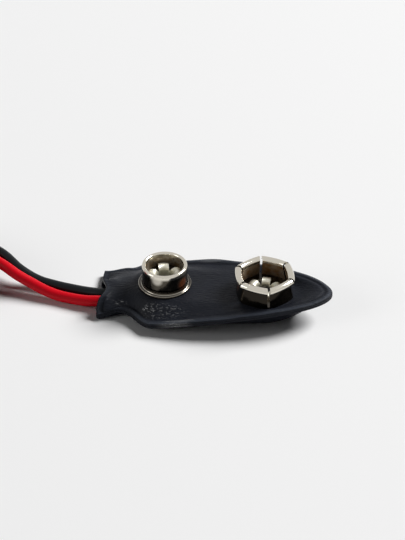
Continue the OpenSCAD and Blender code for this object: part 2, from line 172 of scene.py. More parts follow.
def makeInsulation(name, w, base, shade, roughness):
    material, tree, shader = startMaterial(name, {
        "Roughness": roughness, "IOR": 1.53, "Specular IOR Level": 0.13,
    })
    along = addNode(tree, "ShaderNodeAttribute", {"attribute_name": "along"}).outputs["Fac"]
    around = addNode(tree, "ShaderNodeAttribute", {"attribute_name": "around"}).outputs["Fac"]
    place = addNode(tree, "ShaderNodeCombineXYZ", links={"X": around, "Y": along}).outputs["Vector"]
    dieLines = addNode(tree, "ShaderNodeMapping", values={"Scale": w["dieLines"]}, links={"Vector": place})
    streak = addNode(tree, "ShaderNodeTexNoise", values={"Scale": 1, "Detail": 2},
                     links={"Vector": dieLines.outputs["Vector"]})
    coords = addNode(tree, "ShaderNodeTexCoord").outputs["Object"]
    cloud = addNode(tree, "ShaderNodeTexNoise", values={"Scale": 1 / (w["cloud"] * mm), "Detail": 3},
                    links={"Vector": coords})
    tone = addNode(tree, "ShaderNodeMix", {"data_type": "RGBA"}, {6: hexColor(base), 7: hexColor(shade)},
                   {0: cloud.outputs["Fac"]})
    dull = addNode(tree, "ShaderNodeMapRange",
                   values={"To Min": roughness + w["dullBy"][0], "To Max": roughness + w["dullBy"][1]},
                   links={"Value": cloud.outputs["Fac"]})
    bump = addNode(tree, "ShaderNodeBump", values={"Strength": 0.25, "Distance": w["lineHigh"] * mm},
                   links={"Height": streak.outputs["Fac"]})
    joinSockets(tree, shader, {
        "Base Color": tone.outputs[2], "Roughness": dull.outputs["Result"], "Normal": bump.outputs["Normal"],
    })
    return material


# A plain mottled finish: two tones in blots of a given size in mm, raised as the blots are
def makeMottled(name, values, m):
    material, tree, shader = startMaterial(name, values)
    coords = addNode(tree, "ShaderNodeTexCoord").outputs["Object"]
    blot = addNode(tree, "ShaderNodeTexNoise", values={"Scale": 1 / (m["blot"] * mm), "Detail": m["detail"]},
                   links={"Vector": coords}).outputs["Fac"]
    pale, deep = (hexColor(code) for code in m["tones"])
    tone = addNode(tree, "ShaderNodeMix", {"data_type": "RGBA"}, {6: pale, 7: deep}, {0: blot})
    bump = addNode(tree, "ShaderNodeBump", values={"Strength": m["bump"][0], "Distance": m["bump"][1] * mm},
                   links={"Height": blot})
    joinSockets(tree, shader, {"Base Color": tone.outputs[2], "Normal": bump.outputs["Normal"]})
    if "rough" in m:  # its gloss is uneven too
        dull = addNode(tree, "ShaderNodeMapRange", values={"To Min": m["rough"][0], "To Max": m["rough"][1]},
                       links={"Value": blot})
        joinSockets(tree, shader, {"Roughness": dull.outputs["Result"]})
    return material


# Tinned copper strands: dipped in tin, so they look bright grey and slightly uneven
tinLook = {
    "blot": 0.4,
    "detail": 3,
    "tones": ("#d2d2cc", "#a9a8a0"),
    "rough": (0.22, 0.42),
    "bump": (0.3, 0.03),  # strength, and height in mm
}
blackInsulation = makeInsulation("blackPvcInsulation", insulationLook, "#15191c", "#101315", 0.32)
redInsulation = makeInsulation("redPvcInsulation", insulationLook, "#dd041c", "#c60419", 0.36)
tinnedCopper = makeMottled("tinnedCopper", {"Metallic": 1.0, "Roughness": 0.3}, tinLook)

# Both leads: the stretch in the jacket and on the table, then three turns in a coil, in mm
leadSizes = {
    "diameter": 1.4,
    "sides": 20,
    "step": 0.45,  # spacing of the points of the finished path
    "coilAt": (-38.5, -1.1),
    "entryAngle": 60,
    "layerZ": (3.5, 2.1, 0.7),  # the coil is laid from the top pass down
    "rampAt": (150, 510),  # angles at which a pass starts to sink by one layer
    "rampTurn": 60,
    "tieAngle": 105,
    "tieLift": (0.0, 0.15, 0.3),  # the band passes under the lowest pass
    "tieReach": (1.3, 5.0),  # half the stretch that is lifted in full, and the slope beside it
    "coilStep": 8,  # degrees
    "endSplay": 35,
}
blackSizes = {
    "route": [
        (-10.4, 0, 1.1), (-11.4, 0, 1.1), (-14, -0.7, 1.15), (-16, -0.4, 0.9), (-18, 0, 0.8),
        (-20.5, 0.4, 0.9), (-23, 1, 1.1), (-25.5, 1.8, 2), (-28, 3.6, 2.8), (-31, 5, 3.3),
        (-34.2, 6.4, 3.5),
    ],
    "turnR": 8.6,
    "endAngle": 875,
    "endR": 9.3,
    "exit": (-14.0, -0.7, 1.15),
}
redSizes = {
    "route": [
        (1.8, -1.5, 1.1), (0.6, -1.5, 1.1), (-2.5, -2.3, 1.1), (-5.5, -2.6, 1.1), (-8.2, -2.55, 1.1),
        (-10.4, -2.2, 1.2), (-12.4, -2.1, 1.2), (-14.4, -2.35, 1.15), (-16.5, -2.2, 0.9),
        (-19.4, -1.6, 0.8), (-21.5, -1.1, 1.1), (-23.5, -0.4, 1.6), (-25.5, 0.2, 2.3), (-27.6, 1.2, 3),
        (-31, 3, 3.5), (-34.9, 5.1, 3.5),
    ],
    "turnR": 7.15,
    "inset": (840, 900, 5.7),  # the last turn lies inside the others
    "endAngle": 1090,
    "endR": 5.0,
    "exit": (-14.4, -2.35, 1.15),
}


def smoothLine(points, perSpan=12):
    line = []
    ends = [points[0] * 2 - points[1], *points, points[-1] * 2 - points[-2]]
    for i in range(1, len(ends) - 2):
        a, b, c, d = ends[i - 1:i + 3]
        for k in range(perSpan):
            t = k / perSpan
            square, cube = 2 * a - 5 * b + 4 * c - d, 3 * b - a - 3 * c + d
            line.append(0.5 * (2 * b + (c - a) * t + square * t ** 2 + cube * t ** 3))
    return line + [points[-1]]


def evenLine(points, step):
    lengths = [0.0]
    for a, b in zip(points, points[1:]):
        lengths.append(lengths[-1] + (b - a).length)
    count = round(lengths[-1] / step)
    line, at = [], 0
    for i in range(count + 1):
        wanted = lengths[-1] * i / count
        while at < len(points) - 2 and lengths[at + 1] < wanted:
            at += 1
        span = max(lengths[at + 1] - lengths[at], 1e-9)
        line.append(points[at].lerp(points[at + 1], (wanted - lengths[at]) / span))
    return line


def coilPoint(common, lead, angle):
    inset = lead.get("inset", (0, 1, lead["turnR"]))
    radius = mix(lead["turnR"], inset[2], smooth((angle - inset[0]) / (inset[1] - inset[0])))
    gap = lead["endR"] - radius
    bend = 2 * abs(gap) / (math.tan(math.radians(common["endSplay"])) * lead["endR"])
    swing = math.degrees(bend)
    radius += gap * clamp((angle - lead["endAngle"] + swing) / swing) ** 2
    z, lift = common["layerZ"][0], common["tieLift"][0]
    for k, start in enumerate(common["rampAt"]):
        t = smooth((angle - start) / common["rampTurn"])
        z = mix(z, common["layerZ"][k + 1], t)
        lift = mix(lift, common["tieLift"][k + 1], t)
    away = abs((angle - common["tieAngle"] + 180) % 360 - 180)
    level, slope = common["tieReach"]
    z += lift * (1 - smooth((math.radians(away) * radius - level) / slope))
    turn = math.radians(angle)
    x, y = common["coilAt"]
    return Vector((x + radius * math.cos(turn), y + radius * math.sin(turn), z))


def leadPath(common, lead):
    first = [Vector(p) for p in lead["route"]]
    step = common["coilStep"]
    angles = [*range(common["entryAngle"] + step, lead["endAngle"], step), lead["endAngle"]]
    turns = [coilPoint(common, lead, angle) for angle in angles]
    return evenLine(smoothLine(first + turns), common["step"])


def startTree(name, sockets, result):
    tree = bpy.data.node_groups.new(name, "GeometryNodeTree")
    for label, kind in sockets.items():
        tree.interface.new_socket(name=label, in_out="INPUT", socket_type="NodeSocket" + kind)
    tree.interface.new_socket(name=result, in_out="OUTPUT", socket_type="NodeSocketGeometry")
    return tree, addNode(tree, "NodeGroupInput").outputs


def endTree(tree, shape, finish, result):
    shape = addNode(tree, "GeometryNodeRealizeInstances", links={"Geometry": shape})
    shape = addNode(tree, "GeometryNodeSetMaterial",
                    links={"Geometry": shape.outputs["Geometry"], "Material": finish})
    addNode(tree, "NodeGroupOutput", links={result: shape.outputs["Geometry"]})
    return tree


def makeTubeTree():
    tree, start = startTree("tubeAlongPath", {
        "Path": "Geometry", "Radius": "Float", "Sides": "Int", "Finish": "Material",
    }, "Tube")
    line = addNode(tree, "GeometryNodeMeshToCurve", links={"Mesh": start["Path"]})
    place = addNode(tree, "GeometryNodeSplineParameter").outputs
    perPoint = {"data_type": "FLOAT", "domain": "POINT"}
    line = addNode(tree, "GeometryNodeStoreNamedAttribute", perPoint, {"Name": "along"},
                   {"Geometry": line.outputs["Curve"], "Value": place["Length"]})
    ring = addNode(tree, "GeometryNodeCurvePrimitiveCircle",
                   links={"Resolution": start["Sides"], "Radius": start["Radius"]})
    ring = addNode(tree, "GeometryNodeStoreNamedAttribute", perPoint, {"Name": "around"},
                   {"Geometry": ring.outputs["Curve"], "Value": place["Factor"]})
    tube = addNode(tree, "GeometryNodeCurveToMesh", values={"Fill Caps": True},
                   links={"Curve": line.outputs["Geometry"], "Profile Curve": ring.outputs["Geometry"]})
    return endTree(tree, tube.outputs["Mesh"], start["Finish"], "Tube")


def makeStrandTree():
    tree, start = startTree("twistedStrands", {
        "Base": "Geometry", "Strands": "Int", "Lay Radius": "Float", "Strand Radius": "Float",
        "Length": "Float", "Twist": "Float", "Steps": "Int", "Sides": "Int", "Finish": "Material",
    }, "Bundle")
    top = addNode(tree, "ShaderNodeCombineXYZ", links={"Z": start["Length"]})
    line = addNode(tree, "GeometryNodeCurvePrimitiveLine", links={"End": top.outputs["Vector"]})
    line = addNode(tree, "GeometryNodeResampleCurve",
                   links={"Curve": line.outputs["Curve"], "Count": start["Steps"]})
    ring = addNode(tree, "GeometryNodeMeshCircle",
                   links={"Vertices": start["Strands"], "Radius": start["Lay Radius"]})
    copies = addNode(tree, "GeometryNodeInstanceOnPoints",
                     links={"Points": ring.outputs["Mesh"], "Instance": line.outputs["Curve"]})
    copies = addNode(tree, "GeometryNodeRealizeInstances", links={"Geometry": copies.outputs["Instances"]})
    bundle = addNode(tree, "GeometryNodeJoinGeometry", links={"Geometry": copies.outputs["Geometry"]})
    tree.links.new(line.outputs["Curve"], bundle.inputs["Geometry"])
    here = addNode(tree, "GeometryNodeInputPosition").outputs["Position"]
    height = addNode(tree, "ShaderNodeSeparateXYZ", links={"Vector": here}).outputs["Z"]
    angle = addNode(tree, "ShaderNodeMath", {"operation": "MULTIPLY"}, links={0: height, 1: start["Twist"]})
    turned = addNode(tree, "ShaderNodeVectorRotate", {"rotation_type": "Z_AXIS"},
                     links={"Vector": here, "Angle": angle.outputs["Value"]})
    laid = addNode(tree, "GeometryNodeSetPosition",
                   links={"Geometry": bundle.outputs["Geometry"], "Position": turned.outputs["Vector"]})
    wire = addNode(tree, "GeometryNodeCurvePrimitiveCircle",
                   links={"Resolution": start["Sides"], "Radius": start["Strand Radius"]})
    tube = addNode(tree, "GeometryNodeCurveToMesh", values={"Fill Caps": True},
                   links={"Curve": laid.outputs["Geometry"], "Profile Curve": wire.outputs["Curve"]})
    return endTree(tree, tube.outputs["Mesh"], start["Finish"], "Bundle")


def grow(name, tree, inputs, points=(), edges=()):
    base = bpy.data.meshes.new(name + "Base")
    base.from_pydata([tuple(p) for p in points], edges, [])
    holder = bpy.data.objects.new(name + "Base", base)
    scene.collection.objects.link(holder)
    modifier = holder.modifiers.new(name, "NODES")
    modifier.node_group = tree
    for item in tree.interface.items_tree:
        if item.in_out == "INPUT" and item.name in inputs:
            modifier[item.identifier] = inputs[item.name]
    bpy.context.view_layer.update()
    mesh = bpy.data.meshes.new_from_object(holder.evaluated_get(bpy.context.evaluated_depsgraph_get()))
    mesh.name = name
    mesh.polygons.foreach_set("use_smooth", [len(p.vertices) < 6 for p in mesh.polygons])
    holder.modifiers.remove(modifier)
    bpy.data.objects.remove(holder)
    piece = bpy.data.objects.new(name, mesh)
    scene.collection.objects.link(piece)
    return piece


tubeTree = makeTubeTree()
strandTree = makeStrandTree()
strandSizes = {
    "strands": 6,  # around one more
    "strandD": 0.2,
    "length": 5.0,
    "layLength": 6.0,
    "steps": 24,
    "sides": 10,
}


def makeLead(name, common, lead, material, nodes, endNode, slotName):
    path = [p * mm for p in leadPath(common, lead)]
    edges = [(i, i + 1) for i in range(len(path) - 1)]
    piece = grow(name, tubeTree, {
        "Radius": common["diameter"] / 2 * mm, "Sides": common["sides"], "Finish": material,
    }, path, edges)
    s = strandSizes
    ends = grow(name + "Strands", strandTree, {
        "Strands": s["strands"], "Lay Radius": s["strandD"] * mm, "Strand Radius": s["strandD"] / 2 * mm,
        "Length": s["length"] * mm, "Twist": 2 * math.pi / (s["layLength"] * mm), "Steps": s["steps"],
        "Sides": s["sides"], "Finish": tinnedCopper,
    })
    ahead = (path[-1] - path[-2]).normalized()
    ahead.z = 0
    turn = ahead.to_track_quat("Z", "Y").to_matrix().to_4x4()
    ends.data.transform(Matrix.Translation(path[-1]) @ turn)
    for part, partSlot in ((piece, slotName), (ends, "tinned_copper")):
        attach(part, "root")
    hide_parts(*nodes)
    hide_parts(endNode)


makeLead("blackLead", leadSizes, blackSizes, blackInsulation, ["black_lead", "lead_coil"], "black_tinned_end",
         "black_insulation")
makeLead("redLead", leadSizes, redSizes, redInsulation, ["red_lead", "lead_coil"], "red_tinned_end",
         "red_insulation")


# Calendered soft PVC sheet: its roller left a fine leather grain, and being drawn over the board
# stretched it, so it shows a dull sheen that breaks up into small glints where it is crinkled
vinylSizes = {
    "tones": ("#12141a", "#1a1d25"),
    "rimSheenTone": "#31353d",  # pressed paler
    "grain": 0.3,  # painted sheen: a paler band along the rim where its edge catches the light
    "stretchLine": 0.2,  # spacing of the fine lines along which it was stretched, coarser than real to show
    "drawnOut": (0.18, 0.14),  # their width to length, straight along the jacket and out from the stud
    "fanR": 5.0,  # where the lines that fan out are as close as the straight ones
    "cloud": 3.0,
    "speck": 0.12,
    "speckFlat": 0.35,  # width to length
    "speckFade": (0.58, 0.66),
    "shinyPlaces": [  # middle and reach in x and y in mm, shine, how far it breaks up into specks
        ((-5.9, -4.8), (3.8, 1.3), 1.0, 1.0),
        ((-11.6, -3.2), (1.3, 0.5), 0.8, 1.0),
        ((-3.8, -6.25), (2.6, 0.4), 1.0, 0.5),
        ((-4.2, -6.75), (2.8, 0.25), 0.9, 0.6),
        ((-0.8, 6.5), (2.8, 0.6), 0.9, 0.3),
    ],
    "studX": -contactX,
    "tailFrom": -7.5,
    "tailTo": -10.0,
}


def makeVinyl(v):
    material, tree, shader = startMaterial("softVinylSheet", {
        "Roughness": 0.45, "IOR": 1.53, "Specular IOR Level": 0.1, "Coat Roughness": 0.12, "Coat IOR": 2.1,
    })
    coords = addNode(tree, "ShaderNodeTexCoord").outputs["Object"]
    fromStud = addNode(tree, "ShaderNodeMapping",
                       values={"Location": (-v["studX"] * mm, 0, 0), "Scale": (1, 1, 0)},
                       links={"Vector": coords}).outputs["Vector"]
    place = addNode(tree, "ShaderNodeSeparateXYZ", links={"Vector": fromStud}).outputs
    grain = addNode(tree, "ShaderNodeTexVoronoi", {"feature": "SMOOTH_F1"},
                    {"Scale": 1 / (v["grain"] * mm), "Smoothness": 0.4}, {"Vector": coords})
    backwards = addNode(tree, "ShaderNodeMath", {"operation": "MULTIPLY"}, {1: -1.0}, {0: place["X"]})
    turn = addNode(tree, "ShaderNodeMath", {"operation": "ARCTAN2"},
                   links={0: place["Y"], 1: backwards.outputs["Value"]})
    arc = addNode(tree, "ShaderNodeMath", {"operation": "MULTIPLY"}, {1: v["fanR"] * mm},
                  {0: turn.outputs["Value"]})
    reach = addNode(tree, "ShaderNodeVectorMath", {"operation": "LENGTH"}, links={0: fromStud})
    slow = addNode(tree, "ShaderNodeMath", {"operation": "MULTIPLY"}, {1: v["drawnOut"][1]},
                   {0: reach.outputs["Value"]})
    radial = addNode(tree, "ShaderNodeCombineXYZ",
                     links={"X": slow.outputs["Value"], "Y": arc.outputs["Value"]})
    straight = addNode(tree, "ShaderNodeMapping", values={"Scale": (v["drawnOut"][0], 1, 1)},
                       links={"Vector": coords})
    tail = addNode(tree, "ShaderNodeMapRange", {"interpolation_type": "SMOOTHSTEP"},
                   {"From Min": (v["tailFrom"] - v["studX"]) * mm,
                    "From Max": (v["tailTo"] - v["studX"]) * mm},
                   {"Value": place["X"]}).outputs["Result"]
    stretch = {"Scale": 1 / (v["stretchLine"] * mm), "Detail": 3, "Roughness": 0.6}
    drawn = addNode(tree, "ShaderNodeTexNoise", values=stretch, links={"Vector": straight.outputs["Vector"]})
    pulled = addNode(tree, "ShaderNodeTexNoise", values=stretch, links={"Vector": radial.outputs["Vector"]})
    lines = addNode(tree, "ShaderNodeMix", {"data_type": "FLOAT"},
                    links={0: tail, 2: drawn.outputs["Fac"], 3: pulled.outputs["Fac"]})
    cloud = addNode(tree, "ShaderNodeTexNoise", values={"Scale": 1 / (v["cloud"] * mm), "Detail": 4},
                    links={"Vector": coords})
    flattened = addNode(tree, "ShaderNodeMapping", values={"Scale": (v["speckFlat"], 1, 1)},
                        links={"Vector": coords})
    specks = addNode(tree, "ShaderNodeTexNoise", values={"Scale": 1 / (v["speck"] * mm), "Detail": 1},
                     links={"Vector": flattened.outputs["Vector"]})
    specks = addNode(tree, "ShaderNodeMapRange",
                     values={"From Min": v["speckFade"][0], "From Max": v["speckFade"][1]},
                     links={"Value": specks.outputs["Fac"]})
    shine = None
    for middle, size, gloss, share in v["shinyPlaces"]:
        near = addNode(tree, "ShaderNodeMapping", {"vector_type": "TEXTURE"},
                       {"Location": (middle[0] * mm, middle[1] * mm, 0),
                        "Scale": (size[0] * mm, size[1] * mm, 1)},
                       {"Vector": coords})
        away = addNode(tree, "ShaderNodeVectorMath", {"operation": "LENGTH"},
                       links={0: near.outputs["Vector"]})
        patch = addNode(tree, "ShaderNodeMapRange", {"interpolation_type": "SMOOTHSTEP"},
                        {"From Min": 1.0, "From Max": 0.35},
                        {"Value": away.outputs["Value"]}).outputs["Result"]
        broken = addNode(tree, "ShaderNodeMapRange", values={"To Min": gloss * (1 - share), "To Max": gloss},
                         links={"Value": specks.outputs["Result"]})
        glossy = addNode(tree, "ShaderNodeMath", {"operation": "MULTIPLY"},
                         links={0: patch, 1: broken.outputs["Result"]}).outputs["Value"]
        if shine:
            glossy = addNode(tree, "ShaderNodeMath", {"operation": "MAXIMUM"},
                             links={0: shine, 1: glossy}).outputs["Value"]
        shine = glossy
    deep, pale = (hexColor(code) for code in v["tones"])
    tone = addNode(tree, "ShaderNodeMix", {"data_type": "RGBA"}, {6: deep, 7: pale},
                   {0: cloud.outputs["Fac"]})
    # the rim attribute carries a painted sheen: a paler band along the welded rim
    rim = addNode(tree, "ShaderNodeAttribute", {"attribute_name": "rim"}).outputs["Fac"]
    tone = addNode(tree, "ShaderNodeMix", {"data_type": "RGBA"}, {7: hexColor(v["rimSheenTone"])},
                   {0: rim, 6: tone.outputs[2]})
    dull = addNode(tree, "ShaderNodeMapRange",
                   values={"From Min": 0.3, "From Max": 0.7, "To Min": 0.36, "To Max": 0.54},
                   links={"Value": cloud.outputs["Fac"]})
    stretched = addNode(tree, "ShaderNodeBump", values={"Strength": 0.9, "Distance": 0.14 * mm},
                        links={"Height": lines.outputs[0]})
    grained = addNode(tree, "ShaderNodeBump", values={"Strength": 0.3, "Distance": 0.05 * mm},
                      links={"Height": grain.outputs["Distance"], "Normal": stretched.outputs["Normal"]})
    joinSockets(tree, shader, {
        "Base Color": tone.outputs[2], "Roughness": dull.outputs["Result"], "Coat Weight": shine,
        "Normal": grained.outputs["Normal"],
    })
    return material


softVinyl = makeVinyl(vinylSizes)

# Welded jacket of two vinyl sheets, in mm
jacketSizes = {
    "sheet": 0.4,
    "rim": 1.0,
    "seatZ": 2.65,
    "seatR": 3.95,
    "contactX": contactX,
    "noseX": 14.95,
    "noseTaper": 2.15,
    "noseRound": 1.8,
    "noseEase": 1.1,
    "farSide": {"corner": (-14.95, 4.65), "neck": (-11.55, 4.8), "belly": (-8.75, 7.0), "pull": 1},
    "nearSide": {"corner": (-14.9, 5.45), "neck": (-11.2, 4.15), "belly": (-7.0, 6.85), "pull": 2},
    "tailHollow": 1.2,
    "hollowWide": (3.6, 4.3),  # reach of the hollow from the mouth to the far and the near corner
    "mouthY": -1.4,
    "mouthWide": 3.6,
    "mouthSlope": 1.8,
    "mouthZ": 2.15,
    "weldTail": 0.45,
    "weldNeck": 1.2,
    "weldBelly": 1.0,
    "weldNose": 3.45,
    "foot": 3.2,
    "footNose": 2.2,
    "edgeRound": 0.17,
    "grooveDeep": 0.08,
    "noseGroove": 0.15,
    "grooveWide": 0.3,
    "noseFade": (5, 5),  # where the groove starts to deepen towards the nose, and over what length
    "cutShare": 0.35,  # how much of the rim's relief shows along the cut
    "tailShare": 0.2,  # and at the tail
    "tailFade": (-12, 3),
    "rimDrop": 0.13,
    "dropFrom": (0.35, 0.65),  # how far outside the weld the rim starts to drop, and over what width
    "curlAt": (-0.8, 2.6),  # where the far rim curls up, and its reach
    "curlHigh": 0.2,
    "curlFrom": (0.15, 0.7),
    "curlFarY": 2,  # only the far side curls
    "sheenFrom": (0.2, 0.5),
    "cutSheen": 0.4,  # how much of the painted rim sheen shows along the cut
    "rippleHigh": 0.07,
    "rippleTurn": 0.45,
    "rippleFade": 1.5,
    "rippleSeed": 3.1,
    "creaseHigh": 0.05,
    "creaseFade": (-7.5, 3),
    "creaseAcross": (0.5, 0.9),  # the folds lie aslant, long and narrow
    "creaseAlong": (-0.1, 0.25),
    "creaseSide": 1.2,
    "creaseSeed": 7.7,
    "earRound": 2.1,  # reach of the rounding at the near corner
    "earPasses": 80,
    "drapeFrom": (-5.5, 2),
    "drapeX": (-15.6, -2.9),
    "drapeY": (-7.8, 7.9),
    "drapeWires": (-15.5, 0),  # the stretch of the leads that may lift the sheet
    "drapeCell": 0.15,
    "drapePasses": 2500,
    "softenPasses": 12,
    "leastSpan": 0.1,  # from the seat to the rim
    "leadR": leadSizes["diameter"] / 2,
    "leadGap": 0.04,
    "curveFrom": (3.0, 3.75),  # around the stud and around the socket
    "curveFade": 4,
    "thinnest": 0.1,
    "noseSteps": 64,
    "sideSteps": 40,
    "cutSteps": 52,
    "seatRings": (0, 0.4, 0.7, 0.78, 0.86, 0.93, 1),
    "slopeRings": 14,
    "weldRings": 10,
    "weldBand": 0.5,
    "rimRings": 4,
}


def sideHalf(side, x):
    corner, neck, belly = side["corner"], side["neck"], side["belly"]
    if x > neck[0]:
        return mix(neck[1], belly[1], smooth((x - neck[0]) / (belly[0] - neck[0])))
    return mix(neck[1], corner[1], smooth((neck[0] - x) / (neck[0] - corner[0])) ** side["pull"])


def sideEdge(j, side):
    points, belly = [], side["belly"]
    for i in range(j["noseSteps"]):
        a = math.radians(90 * (1 - i / j["noseSteps"]))
        points.append((mix(belly[0], j["noseX"], math.sin(a) ** (2 / j["noseTaper"])),
                       belly[1] * math.cos(a) ** (2 / j["noseRound"])))
    for i in range(j["sideSteps"] + 1):
        x = mix(belly[0], side["corner"][0], i / j["sideSteps"])
        points.append((x, sideHalf(side, x)))
    return points


def jacketEdge(j):
    far, near = j["farSide"]["corner"], j["nearSide"]["corner"]
    edge = [(x, y, False) for x, y in sideEdge(j, j["farSide"])]
    for i in range(1, j["cutSteps"]):
        t = i / j["cutSteps"]
        x, y = mix(far[0], near[0], t), mix(far[1], -near[1], t)
        wide = j["hollowWide"][y < j["mouthY"]]
        edge.append((x + j["tailHollow"] * (1 - smooth(abs(y - j["mouthY"]) / wide)), y, True))
    edge += [(x, -y, False) for x, y in reversed(sideEdge(j, j["nearSide"])[1:])]
    for _ in range(j["earPasses"]):
        softer = list(edge)
        for i in range(1, len(edge) - 1):
            x, y, onCut = edge[i]
            share = 0.5 * smooth(1.5 - 1.5 * math.hypot(x - near[0], y + near[1]) / j["earRound"])
            middle = [(edge[i - 1][k] + edge[i + 1][k]) / 2 for k in (0, 1)]
            softer[i] = (mix(x, middle[0], share), mix(y, middle[1], share), onCut)
        edge = softer
    return edge


def weldHeight(j, x):
    tail, neck, belly = (j["farSide"][place][0] for place in ("corner", "neck", "belly"))
    if x < neck:
        return mix(j["weldTail"], j["weldNeck"], smooth((x - tail) / (neck - tail)))
    if x < belly:
        return mix(j["weldNeck"], j["weldBelly"], smooth((x - neck) / (belly - neck)))
    rise = math.sin(math.pi / 2 * clamp((x - belly) / (j["noseX"] - belly)))
    return mix(j["weldBelly"], j["weldNose"], rise ** j["noseEase"])


def mouthShare(j, y):
    return 1 - smooth((abs(y - j["mouthY"]) - j["mouthWide"] / 2) / j["mouthSlope"])


def edgeHeight(j, p, isUpper):
    if p[2]:
        return mix(j["weldTail"], j["mouthZ"] if isUpper else j["sheet"], mouthShare(j, p[1]))
    return weldHeight(j, p[0])


def sheetPoint(j, p, r, isUpper):
    spineX = max(-j["contactX"], min(j["contactX"], p[0]))
    dx, dy = p[0] - spineX, p[1]
    reach = math.hypot(dx, dy)
    weld = reach - j["rim"]
    h = edgeHeight(j, p, True)
    upper = mix(j["seatZ"], h, smooth((r - j["seatR"]) / (weld - j["seatR"])))
    x, y = spineX + dx / reach * r, dy / reach * r
    if isUpper:
        return x, y, upper
    foot = mix(j["foot"], j["footNose"], (spineX + j["contactX"]) / (2 * j["contactX"]))
    t = max(0.0, (r - foot) / (weld - foot))
    lower = mix(j["sheet"], edgeHeight(j, p, False), t * smooth(t))
    return x, y, min(upper, lower)


def ringRadii(j, p):
    spineX = max(-j["contactX"], min(j["contactX"], p[0]))
    reach = math.hypot(p[0] - spineX, p[1])
    weld = reach - j["rim"]
    inner, outer = weld - j["weldBand"], weld + j["weldBand"]
    rings = [j["seatR"] * share for share in j["seatRings"]]
    for start, end, count in ((j["seatR"], inner, j["slopeRings"]), (inner, outer, j["weldRings"]),
                              (outer, reach - j["edgeRound"], j["rimRings"])):
        rings += [mix(start, end, (k + 1) / count) for k in range(count)]
    return rings, weld, reach


def relief(j, x, y, r, weld, onCut):
    kept = mix(j["tailShare"], 1, smooth((x - j["tailFade"][0]) / j["tailFade"][1]))
    kept *= j["cutShare"] if onCut else 1
    deep = mix(j["grooveDeep"], j["noseGroove"], smooth((x - j["noseFade"][0]) / j["noseFade"][1]))
    drop = -deep * bell(r - weld, j["grooveWide"])
    curl = smooth(y / j["curlFarY"]) * bell(x - j["curlAt"][0], j["curlAt"][1])
    bead = mix(-j["rimDrop"] * smooth((r - weld - j["dropFrom"][0]) / j["dropFrom"][1]),
               j["curlHigh"] * smooth((r - weld - j["curlFrom"][0]) / j["curlFrom"][1]), curl)
    wave = noise.noise(Vector((x * j["rippleTurn"], y * j["rippleTurn"], j["rippleSeed"])))
    ripple = j["rippleHigh"] * wave * smooth((r - j["seatR"]) / j["rippleFade"])
    tail = smooth((j["creaseFade"][0] - x) / j["creaseFade"][1])
    across, along = (x * s[0] + y * s[1] for s in (j["creaseAcross"], j["creaseAlong"]))
    crease = j["creaseHigh"] * tail * noise.noise(Vector((across, along, j["creaseSeed"])))
    return kept * (drop + bead) + ripple + crease * smooth((r - j["seatR"]) / j["creaseSide"])


def drapeTail(j, edge, wires):  # a tight skin between the board, the rim and the leads under it
    cell = j["drapeCell"]
    xs, ys = np.arange(*j["drapeX"], cell), np.arange(*j["drapeY"], cell)
    gx, gy = np.meshgrid(xs, ys, indexing="ij")
    rim = np.array([(p[0], p[1], edgeHeight(j, p, True)) for p in edge])
    apart = np.hypot(gx[..., None] - rim[:, 0], gy[..., None] - rim[:, 1])
    nearest = apart.argmin(axis=2)
    fromSpine = np.hypot(np.minimum(gx + j["contactX"], 0), gy)
    onSeat = fromSpine <= j["seatR"]
    ahead = np.roll(rim, -1, 0) - rim
    tip = rim[nearest]
    away = ahead[nearest]
    outside = away[..., 0] * (gy - tip[..., 1]) - away[..., 1] * (gx - tip[..., 0]) < 0
    held = (apart.min(axis=2) <= j["rim"]) | outside | onSeat
    start = tip[..., 2]
    span = np.maximum(apart.min(axis=2) + fromSpine - j["rim"] - j["seatR"], j["leastSpan"])
    lift = smoothArray((fromSpine - j["seatR"]) / span)
    z = np.where(held, start, j["seatZ"] + (start - j["seatZ"]) * lift)
    z[onSeat] = j["seatZ"]
    held[0], held[-1], held[:, 0], held[:, -1] = True, True, True, True
    under = np.zeros_like(z)
    for wire in wires:
        for p in wire:
            if j["drapeWires"][0] < p.x < j["drapeWires"][1]:
                across = np.hypot(gx - p.x, gy - p.y)
                bulge = np.sqrt(np.maximum(j["leadR"] ** 2 - across ** 2, 0))
                under = np.maximum(under, np.where(across < j["leadR"], p.z + bulge + j["leadGap"], 0))
    for _ in range(j["drapePasses"]):
        middle = z.copy()
        middle[1:-1, 1:-1] = (z[2:, 1:-1] + z[:-2, 1:-1] + z[1:-1, 2:] + z[1:-1, :-2]) / 4
        z = np.where(held, z, np.maximum(middle, under))
    shown = z.copy()
    for _ in range(j["softenPasses"]):
        shown[1:-1, 1:-1] = (shown[2:, 1:-1] + shown[:-2, 1:-1] + shown[1:-1, 2:] + shown[1:-1, :-2]) / 4
    shown = np.maximum(shown, z - j["sheet"] + j["thinnest"])

    def height(grid, x, y):
        u, v = (x - xs[0]) / cell, (y - ys[0]) / cell
        i, k = min(max(int(u), 0), len(xs) - 2), min(max(int(v), 0), len(ys) - 2)
        low = mix(grid[i, k], grid[i + 1, k], u - i)
        high = mix(grid[i, k + 1], grid[i + 1, k + 1], u - i)
        return float(mix(low, high, v - k))

    return lambda x, y: (height(z, x, y), height(shown, x, y))


def roundOver(j, p, r, weld, drop):  # the shown face starts to curve down before the board's edge
    spineX = max(-j["contactX"], min(j["contactX"], p[0]))
    start = mix(*j["curveFrom"], smooth(spineX / j["curveFade"]))
    late = smooth((r - j["seatR"]) / (weld - j["seatR"]))
    early = smooth((r - start) / (weld - start))
    return -min((early - late) * drop, j["sheet"] - j["thinnest"])


